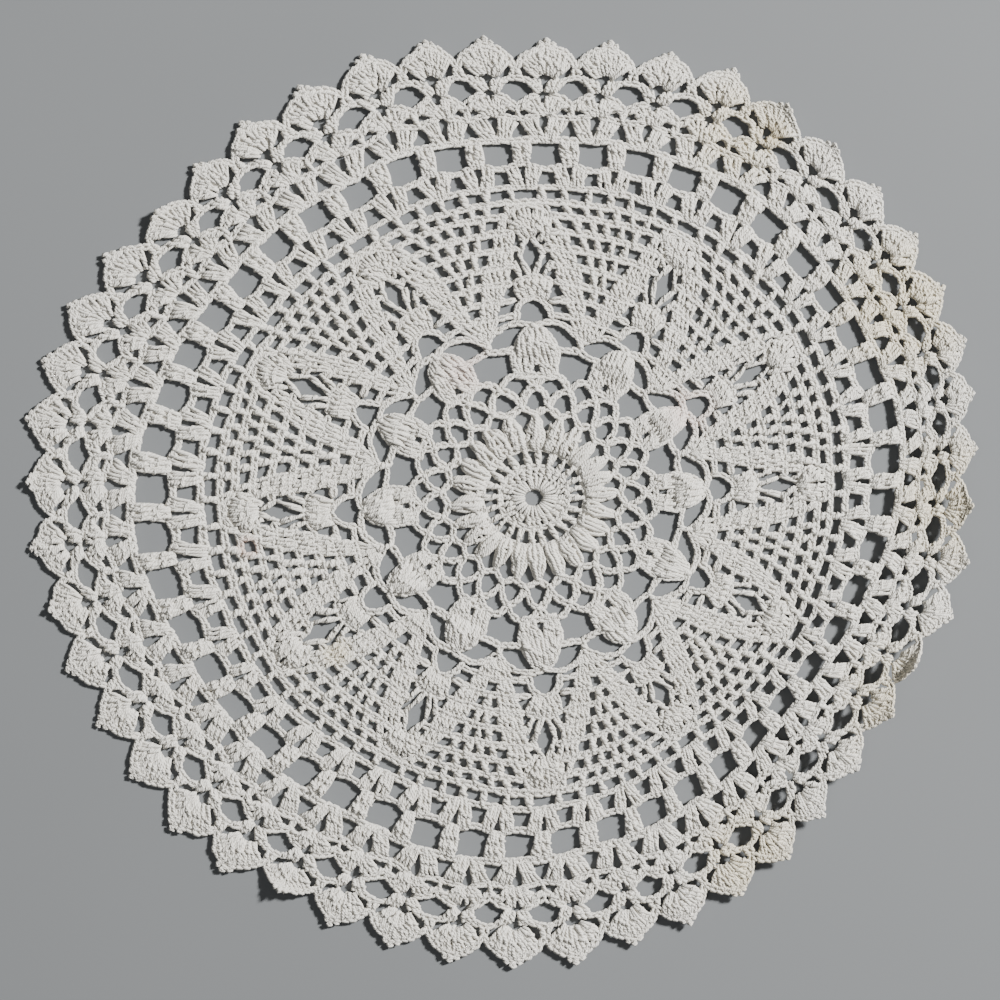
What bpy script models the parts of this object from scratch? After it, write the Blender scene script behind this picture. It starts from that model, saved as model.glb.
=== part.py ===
"""Round crocheted lace doily: petals, leaf motifs, a twelve-pointed star and a scalloped edge.

The doily is one cloth, worked in rounds from the middle outwards, so it is one thin sheet here.
Each ring is a circle of points, joined by faces to the ring before it. Where a round is open net,
only the straps between its holes are made. The flat pattern is then pulled into the
uneven shape in which the cloth lies, and thickened. Finer holes are left closed.

Metres and degrees. Directions run clockwise from +Y, seen from above. Underside at z = 0.
"""

import math
from collections import namedtuple

import bmesh
import bpy

# Driving dimensions.
MM = 0.001
THICKNESS = 0.002
SCALLOPS = 48
COTTON = (0.68, 0.66, 0.61, 1.0)
COTTON_ROUGHNESS = 0.85

# How a ring's points gather at the straps of its net: how many straps, the first one's place in
# parts of the pitch, the faces across each, and its width in degrees.
Straps = namedtuple("Straps", "count phase faces width")
EVEN = None
LOOPS_OFF = Straps(24, 0.5, 1, 4.6)
LOOPS_ON = Straps(24, 0.0, 1, 4.2)
LEAVES = Straps(12, 0.0, 3, 20.0)
STAR_FEET = Straps(12, 0.5, 3, 22.0)
POSTS = Straps(48, 0.0, 1, 1.9)
NECKS = Straps(48, 0.5, 2, 3.8)

# Each ring of the flat pattern, with its radius in line with a scallop's valley and its tip, in
# millimetres. The first letter of "round_is" says what lies between it and the ring before.
Ring = namedtuple("Ring", "name valley tip points straps round_is")
RINGS = (
    Ring("centre_hole", 3.0, 3.0, 24, EVEN, "edge"),
    Ring("disc", 11.0, 11.0, 24, EVEN, "solid"),
    Ring("petal_foot", 16.2, 16.2, 24, EVEN, "solid"),
    Ring("petal_tips", 27.6, 27.6, 24, EVEN, "solid"),
    Ring("first_loops_foot", 28.8, 28.8, 48, LOOPS_OFF, "solid"),
    Ring("first_loops", 32.8, 32.8, 48, LOOPS_OFF, "open"),
    Ring("second_loops_foot", 33.9, 33.9, 48, LOOPS_ON, "solid"),
    Ring("second_loops", 37.3, 37.3, 48, LOOPS_ON, "open"),
    Ring("leaf_foot", 38.6, 38.6, 48, LEAVES, "solid"),
    Ring("leaves", 47.4, 47.4, 48, LEAVES, "open"),
    Ring("third_loops_foot", 48.6, 48.6, 48, LOOPS_ON, "solid"),
    Ring("third_loops", 53.8, 53.8, 48, LOOPS_ON, "open"),
    Ring("star_ring", 55.2, 55.2, 48, STAR_FEET, "solid"),
    Ring("ovals", 59.6, 59.6, 48, STAR_FEET, "open"),
    Ring("star_foot", 66.0, 66.0, 96, EVEN, "solid"),
    Ring("star_middle", 78.0, 78.0, 96, EVEN, "solid"),
    Ring("star_tips", 89.0, 89.0, 96, EVEN, "solid"),
    Ring("v_shells", 101.6, 101.6, 96, POSTS, "solid"),
    Ring("ladder", 109.2, 109.2, 96, POSTS, "open"),
    Ring("lower_shells", 116.5, 116.5, 96, EVEN, "solid"),
    Ring("upper_shells", 121.4, 123.8, 192, NECKS, "solid"),
    Ring("neck_holes", 129.8, 127.4, 192, NECKS, "open"),
    Ring("fans", 132.0, 134.4, 192, EVEN, "solid"),
    Ring("edge", 133.4, 141.5, 384, EVEN, "solid"),
)

# Where the first point of a ring lies, in parts of the pitch between its points.
FIRST_POINT = {24: 0.5, 48: 0.5, 96: 0.5, 192: 1.0, 384: 2.0}

# The flat pattern's radii at which the pulled shape is measured.
FLAT_TRUE, FLAT_STAR, FLAT_BAR, FLAT_EDGE = 55.0, 89.0, 110.0, 141.5

# How the cloth lies, by direction: how far its leaves and its edge are turned from their true
# places, in degrees, how far its star tips, ladder bar and scallop tips reach, and how high its
# edge stands, in millimetres.
Pull = namedtuple("Pull", "toward leaf_turn edge_turn star bar edge lift")
PULLS = (
    Pull(0, 0.5, -2.5, 87.9, 106.8, 138.9, 0.3),
    Pull(15, 2.0, -1.6, 88.9, 108.9, 139.5, 0.3),
    Pull(30, 3.0, -1.3, 90.0, 111.0, 142.8, 0.8),
    Pull(45, 2.2, -0.4, 90.4, 111.9, 139.8, 1.2),
    Pull(60, 1.0, -0.9, 90.9, 111.0, 139.5, 1.6),
    Pull(75, -1.0, -1.8, 90.2, 112.2, 137.2, 2.6),
    Pull(90, -3.0, -2.9, 88.8, 110.1, 132.6, 4.6),
    Pull(105, -3.6, -2.6, 87.2, 105.6, 131.2, 6.0),
    Pull(120, -4.0, -2.5, 85.8, 101.4, 127.2, 6.4),
    Pull(135, -4.0, -1.2, 84.3, 100.2, 127.8, 5.2),
    Pull(150, -4.0, -1.5, 83.4, 103.5, 134.1, 3.2),
    Pull(165, -3.5, -1.6, 85.8, 105.3, 137.7, 1.4),
    Pull(180, -3.0, -1.5, 87.9, 108.0, 142.2, 0.6),
    Pull(195, -2.5, -1.0, 88.3, 110.7, 142.2, 0.3),
    Pull(210, -2.0, -0.9, 88.8, 110.4, 143.1, 0.6),
    Pull(225, -2.5, -1.2, 90.6, 112.8, 148.2, 0.3),
    Pull(240, -3.0, -1.1, 92.4, 114.0, 148.2, 0.0),
    Pull(255, -3.5, -2.0, 93.2, 117.9, 150.6, 0.0),
    Pull(270, -4.0, -2.1, 93.6, 121.5, 153.0, 0.0),
    Pull(285, -4.0, -2.6, 93.3, 119.1, 154.8, 0.0),
    Pull(300, -4.0, -4.2, 92.7, 115.8, 150.3, 0.4),
    Pull(315, -4.5, -4.3, 90.6, 112.8, 143.7, 0.4),
    Pull(330, -5.0, -4.0, 89.1, 110.4, 143.4, 0.3),
    Pull(345, -2.5, -2.4, 88.4, 109.8, 142.5, 0.3),
)
LIFT_STARTS = 62.0  # flat radius inside which the cloth lies on the surface
FANS_START = 129.0  # flat radius where the scallops' fans begin

# The scallops that don't lie flat, by number from +Y: how far the tip is drawn in and stands up, in
# millimetres. Two curl over at the right, one is pinched and three are rolled at the left.
Tuck = namedtuple("Tuck", "drawn_in raised")
TUCKS = {
    5: Tuck(1.8, 0.8),
    12: Tuck(2.0, 1.5),
    15: Tuck(2.6, 1.4),
    28: Tuck(2.4, 1.6),
    34: Tuck(2.4, 0.6),
    36: Tuck(1.8, 0.6),
    41: Tuck(2.4, 1.2),
}


def pull_toward(direction):
    """The row of PULLS at any direction, on a smooth closed curve through its rows."""
    place = (direction % 360.0) / 360.0 * len(PULLS)
    here = int(place)
    t = place - here
    rows = [PULLS[(here + step) % len(PULLS)] for step in (-1, 0, 1, 2)]
    weights = (
        (-t + 2 * t**2 - t**3) / 2,
        (2 - 5 * t**2 + 3 * t**3) / 2,
        (t + 4 * t**2 - 3 * t**3) / 2,
        (-(t**2) + t**3) / 2,
    )
    columns = range(len(Pull._fields))
    return Pull(*(sum(w * row[column] for w, row in zip(weights, rows)) for column in columns))


def between(value, knots):
    """Straight-line reading of (value, result) knots, held level past both ends."""
    for (low, first), (high, last) in zip(knots, knots[1:]):
        if value <= high:
            t = max(0.0, (value - low) / (high - low))
            return first + t * (last - first)
    return knots[-1][1]


def lying(radius, direction):
    """The place where a point of the flat pattern lies, in millimetres."""
    pull = pull_toward(direction)
    reaches = (
        (0.0, 0.0),
        (FLAT_TRUE, FLAT_TRUE),
        (FLAT_STAR, pull.star),
        (FLAT_BAR, pull.bar),
        (FLAT_EDGE, pull.edge),
    )
    reach = between(radius, reaches)
    turns = ((0.0, pull.leaf_turn), (FLAT_TRUE, pull.leaf_turn), (FLAT_BAR, pull.edge_turn))
    turn = between(radius, turns)
    rise = between(radius, ((LIFT_STARTS, 0.0), (FLAT_EDGE, 1.0)))
    height = max(0.0, pull.lift) * rise**2
    tuck = TUCKS.get(int(direction / 360.0 * SCALLOPS) % SCALLOPS)
    if tuck:
        along = between(radius, ((FANS_START, 0.0), (FLAT_EDGE, 1.0)))
        reach -= along * tuck.drawn_in
        height += along * tuck.raised
    angle = math.radians(direction + turn)
    return reach * math.sin(angle), reach * math.cos(angle), height


def gathered(direction, straps, points):
    """Moves an evenly spaced direction so that the ring's lines run along its straps' edges."""
    if straps is EVEN:
        return direction
    pitch = 360.0 / straps.count
    middle = round(direction / pitch - straps.phase) * pitch + straps.phase * pitch
    offset = direction - middle
    even_edge = straps.faces / 2 * 360.0 / points
    knots = ((0.0, 0.0), (even_edge, straps.width / 2), (pitch / 2, pitch / 2))
    return middle + math.copysign(between(abs(offset), knots), offset)


def ring_radius(ring, direction):
    """A scallop's tip lies halfway between two ladder posts, and its outline is a round arc."""
    across = (direction / 360.0 * SCALLOPS) % 1.0 * 2 - 1
    return ring.valley + (ring.tip - ring.valley) * math.sqrt(1 - across**2)


def add_ring(bm, ring):
    """A circle of points, each tagged with its flat radius and direction."""
    verts = bmesh.ops.create_circle(bm, segments=ring.points, radius=ring.tip)["verts"]
    flat_radius = bm.verts.layers.float["flat_radius"]
    flat_direction = bm.verts.layers.float["flat_direction"]
    for count, vert in enumerate(verts):
        even = (count + FIRST_POINT[ring.points]) * 360.0 / ring.points
        vert[flat_direction] = gathered(even, ring.straps, ring.points)
        vert[flat_radius] = ring_radius(ring, even)
    return verts


def gap_faces(ring):
    """The numbers of the faces that lie in the holes of an open round."""
    step = 360.0 / ring.points
    middles = [(count + FIRST_POINT[ring.points] + 0.5) * step for count in range(ring.points)]
    even_width = ring.straps.faces * step
    pitch = 360.0 / ring.straps.count
    offsets = [(middle / pitch - ring.straps.phase + 0.5) % 1.0 - 0.5 for middle in middles]
    return {count for count, offset in enumerate(offsets) if abs(offset) * pitch > even_width / 2}


def add_round(bm, inner, outer, left_open):
    """Faces from one ring to the next, which has as many points or twice as many."""
    each = len(outer) // len(inner)
    for count in range(len(inner)):
        if count in left_open:
            continue
        across = [outer[(count * each + step) % len(outer)] for step in range(each + 1)]
        bm.faces.new([inner[(count + 1) % len(inner)], inner[count], *across])


def worked_in_rounds():
    """The flat pattern as an open surface, with the holes of its open rounds left out."""
    bm = bmesh.new()
    bm.verts.layers.float.new("flat_radius")
    bm.verts.layers.float.new("flat_direction")
    inner = add_ring(bm, RINGS[0])
    for ring in RINGS[1:]:
        outer = add_ring(bm, ring)
        add_round(bm, inner, outer, gap_faces(ring) if ring.round_is == "open" else ())
        inner = outer
    return bm


def lay_down(bm):
    """Pulls the flat pattern into the shape in which it lies, and centres it on its own box."""
    flat_radius = bm.verts.layers.float["flat_radius"]
    flat_direction = bm.verts.layers.float["flat_direction"]
    for vert in bm.verts:
        x, y, z = lying(vert[flat_radius], vert[flat_direction])
        vert.co = (x * MM, y * MM, z * MM)
    middle_x = (min(v.co.x for v in bm.verts) + max(v.co.x for v in bm.verts)) / 2
    middle_y = (min(v.co.y for v in bm.verts) + max(v.co.y for v in bm.verts)) / 2
    bmesh.ops.translate(bm, verts=bm.verts, vec=(-middle_x, -middle_y, 0.0))


def cotton():
    material = bpy.data.materials.new("cotton_thread")
    material.use_nodes = True
    shader = material.node_tree.nodes["Principled BSDF"]
    shader.inputs["Base Color"].default_value = COTTON
    shader.inputs["Roughness"].default_value = COTTON_ROUGHNESS
    shader.inputs["Metallic"].default_value = 0.0
    return material


def build():
    for obj in list(bpy.data.objects):
        bpy.data.objects.remove(obj)
    bm = worked_in_rounds()
    lay_down(bm)
    bmesh.ops.recalc_face_normals(bm, faces=bm.faces)
    if sum(face.normal.z for face in bm.faces) < 0:
        bmesh.ops.reverse_faces(bm, faces=bm.faces)
    mesh = bpy.data.meshes.new("doily")
    bm.to_mesh(mesh)
    bm.free()
    mesh.materials.append(cotton())
    doily = bpy.data.objects.new("doily", mesh)
    collection = bpy.data.collections.new("lace_doily")
    bpy.context.scene.collection.children.link(collection)
    collection.objects.link(doily)
    cloth = doily.modifiers.new("cloth_thickness", "SOLIDIFY")
    cloth.thickness = THICKNESS
    cloth.offset = 1.0


build()
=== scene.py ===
# %% [markdown]
# # A crocheted lace doily
# A doily like this is one long cotton thread, hooked round and round from the middle outwards. It
# could be shown as a flat disc with a lace picture on it, but then it would have no real holes and
# no thread from the side. Here every stitch is modelled as thread: a swept tube along the path
# that the thread takes through the stitch. The frame gives the cloth's size and place, so it is
# loaded first.

# %% Load the frame
import math
from collections import namedtuple

import bpy
import numpy as np
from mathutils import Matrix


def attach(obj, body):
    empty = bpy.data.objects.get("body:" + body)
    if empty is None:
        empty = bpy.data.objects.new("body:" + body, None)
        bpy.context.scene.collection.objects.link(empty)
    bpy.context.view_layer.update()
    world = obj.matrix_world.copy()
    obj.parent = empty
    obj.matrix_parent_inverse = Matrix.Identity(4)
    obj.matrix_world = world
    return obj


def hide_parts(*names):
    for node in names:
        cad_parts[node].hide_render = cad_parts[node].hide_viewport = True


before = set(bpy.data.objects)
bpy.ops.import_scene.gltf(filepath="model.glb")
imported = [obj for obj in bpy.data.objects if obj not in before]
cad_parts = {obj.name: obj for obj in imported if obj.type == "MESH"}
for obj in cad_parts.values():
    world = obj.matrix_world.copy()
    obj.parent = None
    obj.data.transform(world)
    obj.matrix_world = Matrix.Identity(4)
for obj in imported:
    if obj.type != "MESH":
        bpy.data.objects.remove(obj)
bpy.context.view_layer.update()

MM = 0.001
hand = np.random.default_rng(12)  # the hand's unevenness, the same in every run

# %% [markdown]
# ## How the cloth lies
# A doily is worked to a regular pattern, but it never lies regular: here the left side is
# stretched and the right side is drawn in and curls up. So every stitch is first placed in the
# regular flat pattern, in millimetres, and the last step pulls all the points at once into the
# shape in which the cloth lies. The table gives that shape at every 15 degrees, and a smooth
# closed curve runs through its rows. Directions run clockwise from +Y, as seen from above.

# %% Pull the flat pattern into its lying shape
SCALLOPS = 48
POINTS = 12
# Radii in the flat pattern: inside the first the cloth lies true to it, then come the star's tips,
# the bar over the ladder and the tips of the scallops.
FLAT_TRUE, FLAT_STAR, FLAT_BAR, FLAT_EDGE = 55.0, 89.0, 110.0, 141.5
LIFT_STARTS = 62.0  # the radius inside which the cloth touches the floor

# leaf_turn and edge_turn in degrees, the rest in millimetres, one row for every 15 degrees.
Pull = namedtuple("Pull", "leaf_turn edge_turn star bar edge lift")
PULLS = np.array([
    Pull(0.5, -2.5, 87.9, 106.8, 138.9, 0.3),
    Pull(2.0, -1.6, 88.9, 108.9, 139.5, 0.3),
    Pull(3.0, -1.3, 90.0, 111.0, 142.8, 0.8),
    Pull(2.2, -0.4, 90.4, 111.9, 139.8, 1.2),
    Pull(1.0, -0.9, 90.9, 111.0, 139.5, 1.6),
    Pull(-1.0, -1.8, 90.2, 112.2, 137.2, 2.6),
    Pull(-3.0, -2.9, 88.8, 110.1, 132.6, 4.6),
    Pull(-3.6, -2.6, 87.2, 105.6, 131.2, 6.0),
    Pull(-4.0, -2.5, 85.8, 101.4, 127.2, 6.4),
    Pull(-4.0, -1.2, 84.3, 100.2, 127.8, 5.2),
    Pull(-4.0, -1.5, 83.4, 103.5, 134.1, 3.2),
    Pull(-3.5, -1.6, 85.8, 105.3, 137.7, 1.4),
    Pull(-3.0, -1.5, 87.9, 108.0, 142.2, 0.6),
    Pull(-2.5, -1.0, 88.3, 110.7, 142.2, 0.3),
    Pull(-2.0, -0.9, 88.8, 110.4, 143.1, 0.6),
    Pull(-2.5, -1.2, 90.6, 112.8, 148.2, 0.3),
    Pull(-3.0, -1.1, 92.4, 114.0, 148.2, 0.0),
    Pull(-3.5, -2.0, 93.2, 117.9, 150.6, 0.0),
    Pull(-4.0, -2.1, 93.6, 121.5, 153.0, 0.0),
    Pull(-4.0, -2.6, 93.3, 119.1, 154.8, 0.0),
    Pull(-4.0, -4.2, 92.7, 115.8, 150.3, 0.4),
    Pull(-4.5, -4.3, 90.6, 112.8, 143.7, 0.4),
    Pull(-5.0, -4.0, 89.1, 110.4, 143.4, 0.3),
    Pull(-2.5, -2.4, 88.4, 109.8, 142.5, 0.3),
])


def pull_toward(direction):
    """Rows of PULLS at any directions, on a smooth closed curve through the rows."""
    place = (direction % 360.0) / 360.0 * len(PULLS)
    here = np.floor(place).astype(int)
    t = (place - here)[:, None]
    rows = [PULLS[(here + step) % len(PULLS)] for step in (-1, 0, 1, 2)]
    weights = (
        (-t + 2 * t**2 - t**3) / 2,
        (2 - 5 * t**2 + 3 * t**3) / 2,
        (t + 4 * t**2 - 3 * t**3) / 2,
        (-(t**2) + t**3) / 2,
    )
    return Pull(*sum(weight * row for weight, row in zip(weights, rows)).T)


def between(value, *knots):
    """Straight-line reading between (value, result) knots, where results may be arrays."""
    result = np.zeros_like(value) + knots[0][1]
    for (low, first), (high, last) in zip(knots, knots[1:]):
        t = np.clip((value - low) / (high - low), 0.0, 1.0)
        result = np.where(value > low, first + t * (last - first), result)
    return result


def hand_drift(x, y):
    """The unevenness of hand work: waves of half a millimetre, and short ones from loop to loop."""
    long_wave = 0.32 * np.sin(x / 9.0 + 1.3 * np.sin(y / 14.0)) + 0.22 * np.sin(y / 5.3 + x / 21.0)
    return long_wave + 0.27 * np.sin(x / 2.3 + 2.0 * np.sin(y / 3.1)) * np.cos(y / 2.9 + x / 7.7)


def lie_down(points):
    """Moves flat-pattern points, in millimetres, to where the cloth lies, in metres."""
    x, y, z = points.T
    x, y = x + hand_drift(x, y), y + hand_drift(y + 40.0, x - 25.0)
    radius = np.hypot(x, y)
    direction = np.degrees(np.arctan2(x, y)) % 360.0
    radius, z = curl_scallops(radius, direction, z)
    pull = pull_toward(direction)
    reach = between(
        radius,
        (0.0, 0.0),
        (FLAT_TRUE, FLAT_TRUE),
        (FLAT_STAR, pull.star),
        (FLAT_BAR, pull.bar),
        (FLAT_EDGE, pull.edge),
    )
    reach = reach + np.maximum(radius - FLAT_EDGE, 0.0)
    turn = between(
        radius, (0.0, pull.leaf_turn), (FLAT_TRUE, pull.leaf_turn), (FLAT_BAR, pull.edge_turn)
    )
    rise = between(radius, (LIFT_STARTS, 0.0), (FLAT_EDGE, 1.0))
    height = z + np.maximum(pull.lift, 0.0) * rise**2
    angle = np.radians(direction + turn)
    lying = np.column_stack([reach * np.sin(angle), reach * np.cos(angle), height])
    return lying * MM + MIDDLE


# Some scallops don't lie flat: by number from +Y, where the curl starts, and its radius, in mm.
Curl = namedtuple("Curl", "starts bend")
CURLS = {
    4: Curl(133.5, 9.0),
    5: Curl(135.0, 9.0),
    12: Curl(132.0, 12.0),
    13: Curl(134.0, 15.0),
    15: Curl(131.0, 6.0),
    16: Curl(132.0, 10.0),
    28: Curl(133.0, 5.5),
    34: Curl(136.0, 7.0),
    36: Curl(136.0, 7.0),
    41: Curl(134.0, 6.0),
}


def curl_scallops(radius, direction, z):
    """Bends the named scallops up and back along a round arc."""
    number = np.floor(direction / 360.0 * SCALLOPS).astype(int) % SCALLOPS
    for scallop, curl in CURLS.items():
        past = np.where(number == scallop, np.maximum(radius - curl.starts, 0.0), 0.0)
        angle = past / curl.bend
        bent = curl.starts + (curl.bend - z) * np.sin(angle)
        radius, z = (
            np.where(past > 0, bent, radius),
            np.where(past > 0, curl.bend - (curl.bend - z) * np.cos(angle), z),
        )
    return radius, z


# The left side is stretched further than the right, so the pattern's centre isn't at the origin.
MIDDLE = np.array([10.115, 1.819, 0.0]) * MM
print("pattern's centre from the middle of the box, mm:", MIDDLE / MM)

# %% [markdown]
# ## Thread
# Crochet cotton of this weight is about 1 mm thick. The work needs many thousands of short runs of
# it, so one function sweeps a whole batch of paths at once with arrays. A curve object with a
# bevel would give the same tubes, but thousands of them are slow. Four or five sides are enough,
# because shading rounds them. Each tube also notes how far along and how far around the thread
# each corner is, so that the material can lay the twist on it later.

# %% Sweep thread along a batch of paths
THREAD = 0.49  # radius, mm


def thread(paths, radius=THREAD, sides=5):
    """Tubes along paths (curves x points x 3, in mm): their points, quads, caps and thread map."""
    paths = np.asarray(paths, float)
    curves, count, _ = paths.shape
    ahead = np.gradient(paths, axis=1)
    ahead /= np.linalg.norm(ahead, axis=2, keepdims=True) + 1e-9
    side = np.cross(ahead[:, 0], (0.03, 0.02, 1.0))
    sides_seen = []
    for step in range(count):
        side = side - (side * ahead[:, step]).sum(1, keepdims=True) * ahead[:, step]
        side = side / (np.linalg.norm(side, axis=1, keepdims=True) + 1e-9)
        sides_seen.append(side)
    side = np.stack(sides_seen, axis=1)
    up = np.cross(ahead, side)
    turns = np.arange(sides) * 2 * np.pi / sides
    ring = side[:, :, None] * np.cos(turns)[:, None] + up[:, :, None] * np.sin(turns)[:, None]
    # A tube of few sides is narrower than its corners say, so it is made wider to match.
    full = math.pi / (sides * math.sin(math.pi / sides))
    thick = np.broadcast_to(np.asarray(radius, float) * full, (curves, count))
    thick = (thick * hand.normal(1.0, 0.05, (curves, count)))[:, :, None, None]
    points = (paths[:, :, None] + thick * ring).reshape(-1, 3)

    # Corners are numbered curve by curve, then point by point, then round the tube.
    curve, step, turn = np.meshgrid(
        np.arange(curves), np.arange(count - 1), np.arange(sides), indexing="ij"
    )
    first = (curve * count + step) * sides
    after = (turn + 1) % sides
    quads = np.stack([first + turn, first + after, first + sides + after, first + sides + turn], -1)
    start = (np.arange(curves) * count * sides)[:, None]
    around = np.arange(sides)[None, :]
    caps = np.concatenate([(start + around)[:, ::-1], start + (count - 1) * sides + around])
    run = np.linalg.norm(np.diff(paths, axis=1), axis=2).cumsum(axis=1)
    run = np.concatenate([np.zeros((curves, 1)), run], axis=1)
    low, high = run[curve, step], run[curve, step + 1]
    left, right = turn / sides, (turn + 1) / sides
    corners = ((left, low), (right, low), (right, high), (left, high))
    mapped = np.stack([np.stack(corner, -1) for corner in corners], -2)
    return points, quads.reshape(-1, 4), caps, mapped.reshape(-1, 4, 2)


def joined(batches):
    """Batches of thread as one: points, quads, caps by their sides, and the thread map."""
    points, quads, caps, mapped, offset = [], [], [], [], 0
    for batch in batches:
        points.append(batch[0])
        quads.append(batch[1] + offset)
        caps.append(batch[2] + offset)
        mapped.append(batch[3])
        offset += len(batch[0])
    return np.concatenate(points), np.concatenate(quads), caps, np.concatenate(mapped)


def triangles(batches):
    """How many triangles the batches come to."""
    return sum(2 * len(batch[1]) + batch[2].shape[0] * (batch[2].shape[1] - 2) for batch in batches)


def place(direction, across, radius, height=0.0):
    """Points by a radial line: its direction, how far across from it, and how far out along it."""
    direction, across, radius, height = np.broadcast_arrays(direction, across, radius, height)
    angle = np.radians(direction)
    x = radius * np.sin(angle) + across * np.cos(angle)
    y = radius * np.cos(angle) - across * np.sin(angle)
    return np.stack([x, y, height], axis=-1).astype(float)


print("thread is", 2 * THREAD, "mm thick")

# %% [markdown]
# ## The chain stitch
# A chain is a row of loops, each pulled through the one before. From above it looks like a plait
# of small Vs, and a little bump runs along its back. A flat ribbon would give the width but not
# the plait, so the eight points of one loop are charted here, as parts of the loop's length, its
# half width and its half height, and repeated along any route. Every round of the doily ends in
# such a chain, because the top of each stitch is one of its loops.

# %% Chain stitches along a route
LINK_LENGTH = 2.3
LINK_HALF_WIDTH = 0.60
LINK_HALF_HEIGHT = 0.34
LINK_OVERHANG = 0.42  # how far an open chain's last loop reaches past its place, in loops
CHAIN_HEIGHT = 0.84  # the middle of a chain, above the floor
CHAIN_UNEVEN = 0.15
STRAY = 0.065  # how far a chain's thread strays, mm
LINK = np.array([
    # along, across, height
    (0.00, 0.30, 0.10),
    (0.50, 1.00, 0.55),
    (1.05, 0.90, 0.75),
    (1.42, 0.00, 0.55),
    (1.05, -0.90, 0.75),
    (0.50, -1.00, 0.55),
    (0.00, -0.30, 0.10),
    (0.45, 0.00, -1.00),
])


def chain(route, link=LINK_LENGTH, width=1.0, closed=False, lift=0.0, thick=1.0):
    """Chain stitches along a route of points, joined end to end when it is closed."""
    route = np.asarray(route, float)
    if closed:
        route = np.concatenate([route, route[:1]])
    run = np.concatenate([[0.0], np.linalg.norm(np.diff(route, axis=0), axis=1).cumsum()])
    links = max(1, round(run[-1] / link))
    step = run[-1] / links if closed else run[-1] / (links + LINK_OVERHANG)
    along = (np.arange(links)[:, None] + LINK[:, 0]).ravel() * step
    if closed:
        along = along % run[-1]
    at = np.column_stack([np.interp(along, run, route[:, axis]) for axis in range(3)])
    near = np.minimum(along + 0.2, run[-1])
    ahead = np.column_stack([np.interp(near, run, route[:, axis]) for axis in range(3)])
    back = np.maximum(near - 0.4, 0.0)
    ahead -= np.column_stack([np.interp(back, run, route[:, axis]) for axis in range(3)])
    across = np.cross(ahead, (0.0, 0.0, 1.0))
    across /= np.linalg.norm(across, axis=1, keepdims=True) + 1e-9
    uneven = np.repeat(hand.normal(1.0, CHAIN_UNEVEN, links), len(LINK))
    path = at + across * (np.tile(LINK[:, 1], links) * LINK_HALF_WIDTH * width * uneven)[:, None]
    path[:, 2] += CHAIN_HEIGHT + lift + np.tile(LINK[:, 2], links) * LINK_HALF_HEIGHT
    path += hand.normal(0.0, STRAY, path.shape)
    return thread(path[None], THREAD * thick, sides=4)


def chains(routes, **how):
    """A chain along each route."""
    return [chain(route, **how) for route in routes]


def ring_route(radius):
    """A route all round the pattern at one radius."""
    return place(np.arange(0.0, 360.0, 1.25), 0.0, radius)


def part_ring(start, end, radius):
    """A route along part of a ring, from one direction to another."""
    return place(np.linspace(start, end, max(3, int(abs(end - start)))), 0.0, radius)


def arch(start, low, end, high, top, fullness=0.75):
    """An arch from one foot (direction, radius) to the other, with its top at a radius."""
    t = np.linspace(0.0, 1.0, 13)
    foot = low + (high - low) * t
    radius = foot + (top - (low + high) / 2) * np.sin(np.pi * t) ** fullness
    return place(start + (end - start) * t, 0.0, radius)


def route_through(directions, across, radius):
    """The same open route at many directions, through points given as across and radius."""
    steps = np.linspace(0, len(across) - 1, 3 * len(across))
    index = np.arange(len(across))
    across, radius = np.interp(steps, index, across), np.interp(steps, index, radius)
    return [place(direction, across, radius) for direction in directions]


print("a chain is", round(2 * (LINK_HALF_WIDTH + THREAD), 2), "mm wide")

# %% [markdown]
# ## The double crochet
# The upright stitch is the double crochet: two strands twist round each other from foot to head,
# and the thread that was laid over the hook wraps round them on the slant. Fans, shells, the
# ladder and the mesh are all made of it, long or short. It could be modelled once and copied, but
# every stitch is pulled up differently, so each gets its own twist, thickness and slant. One
# function places a whole batch from feet and heads, so a shell is only a list of where its
# stitches start and end.

# %% Upright stitches from feet to heads
STITCH_HEIGHT = 0.92  # the middle of a stitch, above the floor
STRAND_ASIDE, STRAND_UP = 0.45, 0.32  # from a stitch's middle line to its strands
WRAP_ASIDE, WRAP_UP, WRAP_RUN = 0.60, 0.38, 0.9  # the same for its wraps, and how far one slants


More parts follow.
